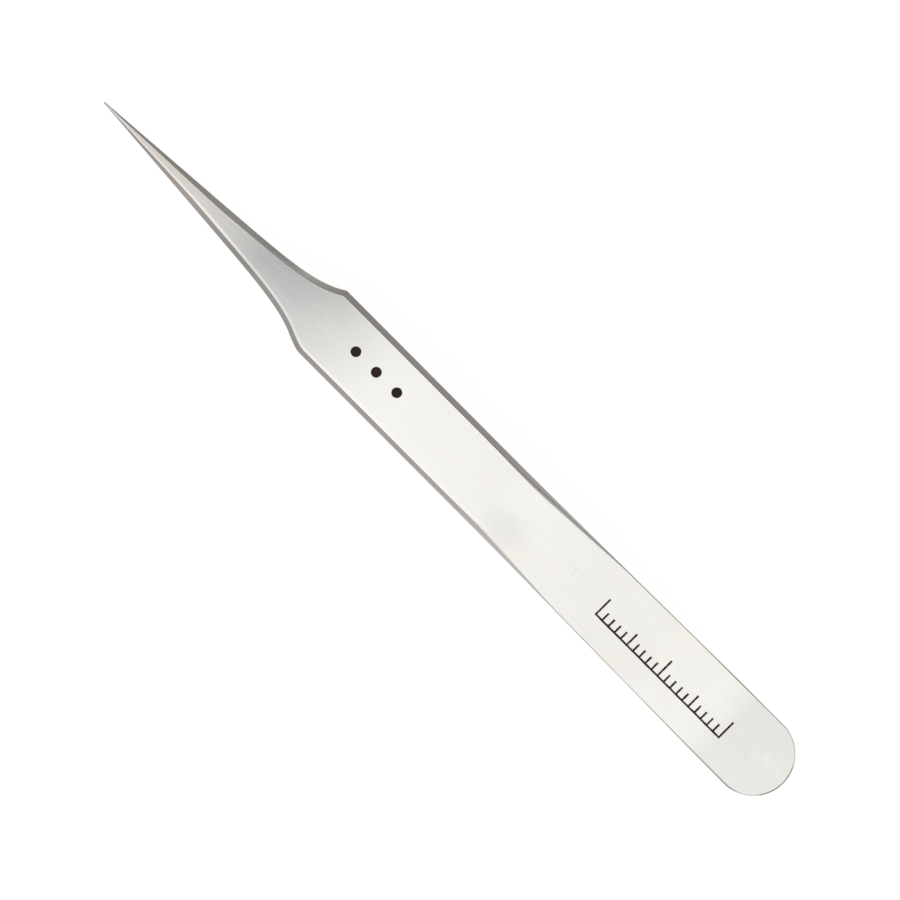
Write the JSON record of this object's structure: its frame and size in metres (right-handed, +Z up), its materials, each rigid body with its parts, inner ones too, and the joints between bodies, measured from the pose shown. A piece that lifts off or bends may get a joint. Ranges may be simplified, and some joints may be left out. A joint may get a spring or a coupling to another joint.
{
  "type": "ultra fine tweezers",
  "caption": "Straight stainless steel tweezers with very fine long points, flat bevelled handles and a welded round tail; the upper arm squeezes closed on a spring.",
  "frame": {"origin": "under the middle of the tweezers' box, on the surface that they lie on", "axes": "+X towards the welded tail, the points at -X; +Z up, through the upper arm; +Y across the handle, to the sharp shoulder corner"},
  "size_m": [0.1101, 0.0096, 0.01],
  "materials": {
    "ground_steel": "satin, ground lengthwise"
  },
  "bodies": {
    "lower_arm": {"lower_arm": "ground_steel"},
    "upper_arm": {"upper_arm": "ground_steel"}
  },
  "joints": [
    {"name": "squeeze", "type": "hinge", "parent": "lower_arm", "child": "upper_arm", "pos_m": [0.04503, 0, 0.0016], "axis": [0, -1, 0], "range_deg": [0, 4.57], "stiffness_Nm_per_rad": 1.3}
  ]
}
